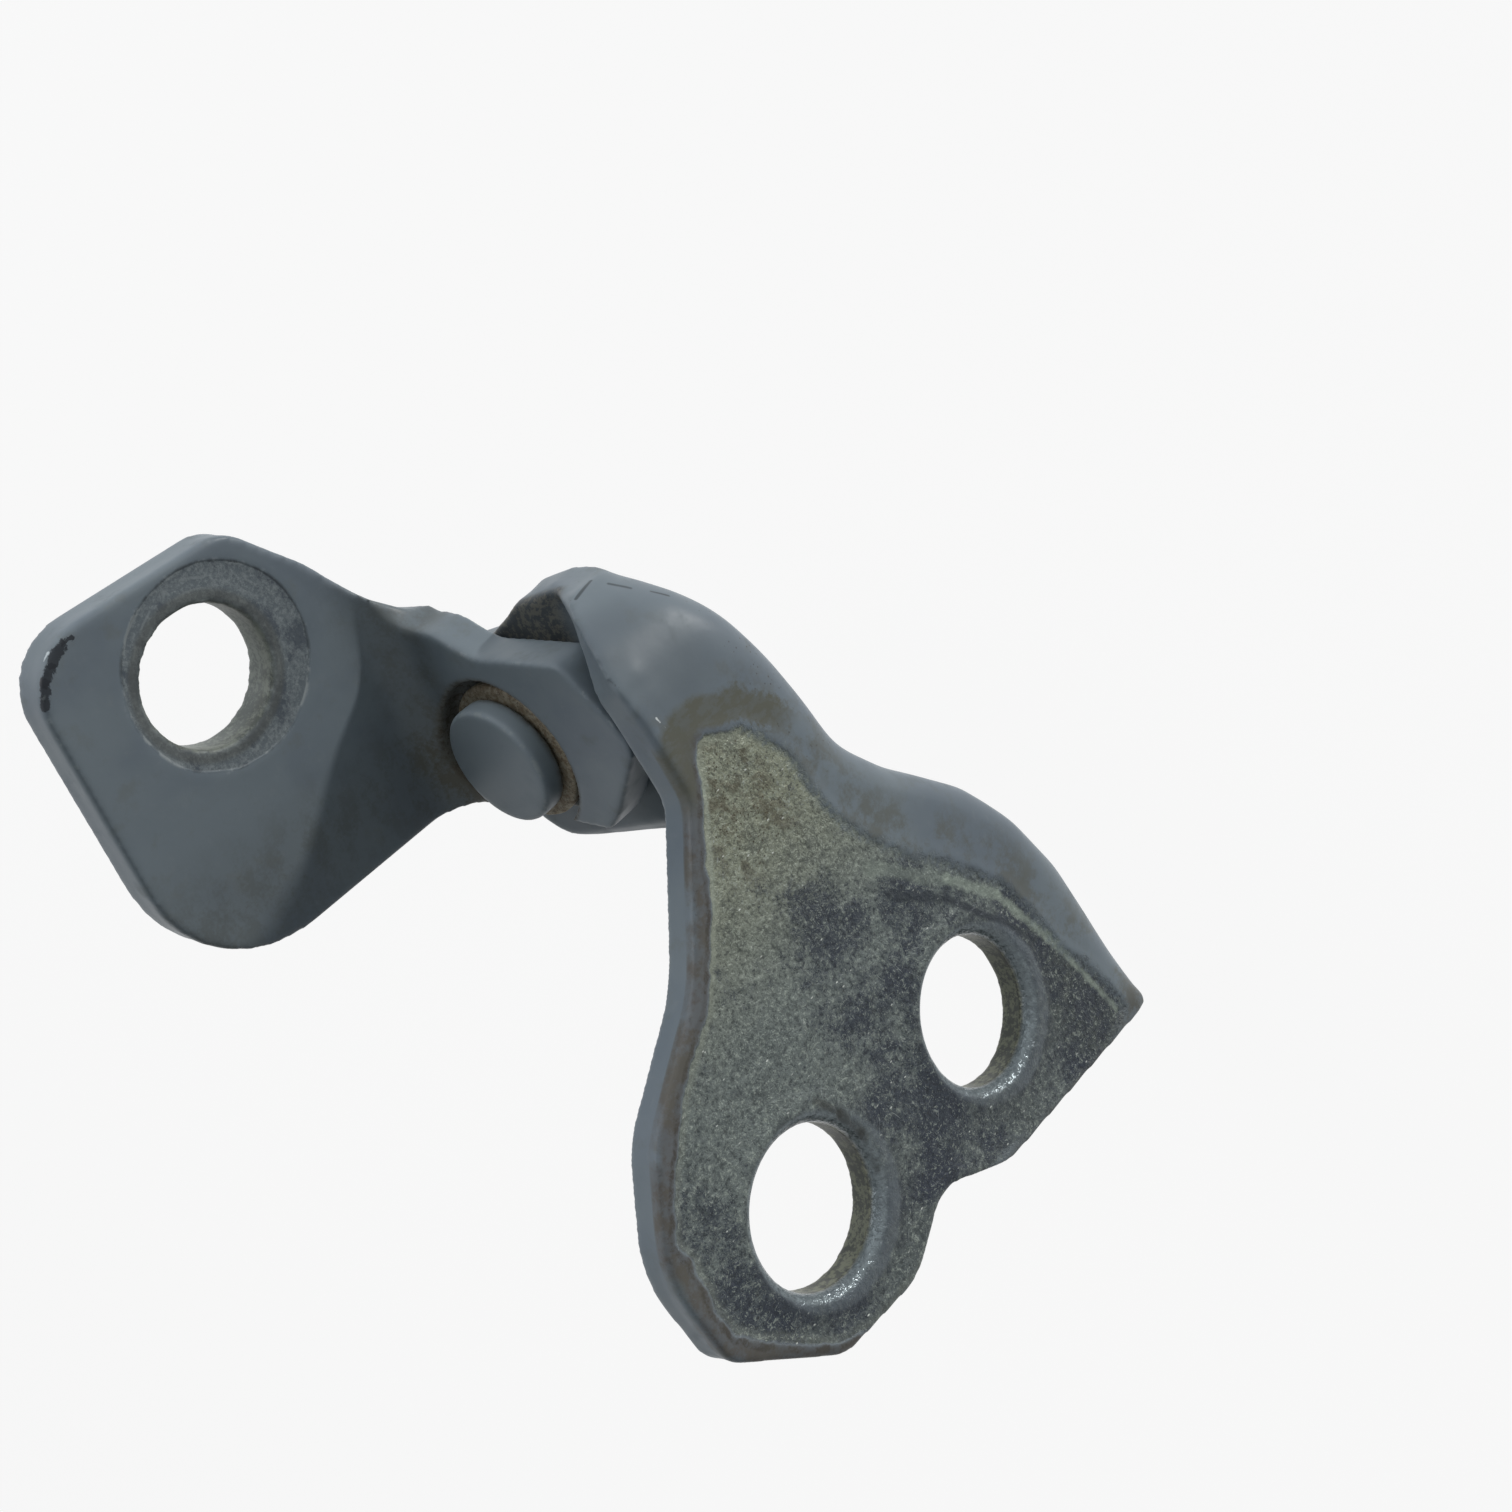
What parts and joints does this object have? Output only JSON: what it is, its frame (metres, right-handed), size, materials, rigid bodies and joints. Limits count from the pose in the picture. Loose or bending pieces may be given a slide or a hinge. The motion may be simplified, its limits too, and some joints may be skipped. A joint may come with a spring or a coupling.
{
  "type": "car door hinge",
  "caption": "Pressed steel door hinge: a formed pillar leaf with a hooded neck and an angled door leaf, joined by one riveted pin with a bush and washers.",
  "frame": {"origin": "on the pillar mounting face, midway between the two pillar bolt holes", "axes": "+X out of the pillar mounting face, +Z along the pin towards its round head and along the line of the two pillar holes, +Y from the pillar holes up to the pin"},
  "size_m": [0.0423, 0.0985, 0.0744],
  "materials": {
    "pillar_leaf": "grey-blue paint, satin, worn to bare steel where it sat on the pillar",
    "door_leaf": "grey-blue paint, satin, with a bare ring round the hole",
    "hinge_pin": "grey-blue paint over the head",
    "door_bush": "dull, speckled with rust",
    "thrust_washer": "dull"
  },
  "bodies": {
    "pillar_side": {"pillar_leaf": "pillar_leaf", "hinge_pin": "hinge_pin", "thrust_washer": "thrust_washer"},
    "door_side": {"door_leaf": "door_leaf", "door_bush": "door_bush"}
  },
  "joints": [
    {"name": "door_swing", "type": "hinge", "parent": "pillar_side", "child": "door_side", "pos_m": [-0.0252, 0.0463, 0.0016], "axis": [0, 0, 1], "range_deg": [-52, 5]}
  ]
}
